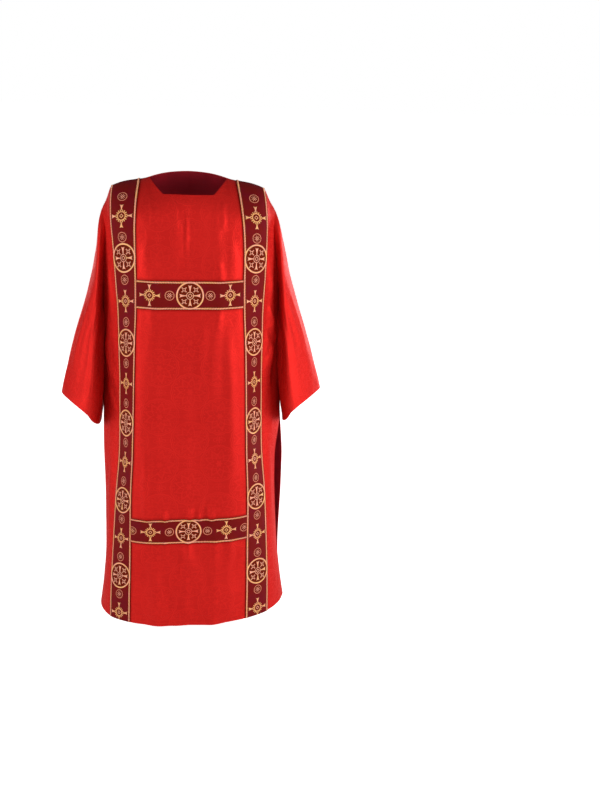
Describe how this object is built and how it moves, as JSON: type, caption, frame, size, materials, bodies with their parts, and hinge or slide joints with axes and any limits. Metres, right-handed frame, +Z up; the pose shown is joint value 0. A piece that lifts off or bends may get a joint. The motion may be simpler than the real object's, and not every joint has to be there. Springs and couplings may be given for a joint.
{
  "type": "dalmatic",
  "caption": "Wide-sleeved knee-length liturgical tunic in red damask with burgundy and gold orphrey bands, hollow and filled out as worn, open at neck, cuffs, hem and side slits.",
  "frame": {"origin": "middle of the neck opening, level with the neck points, where the wearer's neck and shoulders carry the garment", "axes": "-Y is the front, +X the wearer's left, +Z up"},
  "size_m": [0.7425, 0.3889, 1.2769],
  "materials": {
    "red_damask": "soft satin damask",
    "orphrey": "woven galloon"
  },
  "bodies": {
    "root": {"front_panel": "red_damask", "back_panel": "red_damask", "sleeve_left": "red_damask", "sleeve_right": "red_damask", "front_clavus_left": "orphrey", "front_clavus_right": "orphrey", "back_clavus_left": "orphrey", "back_clavus_right": "orphrey", "front_upper_band": "orphrey", "front_lower_band": "orphrey", "back_upper_band": "orphrey", "back_lower_band": "orphrey"}
  },
  "joints": []
}
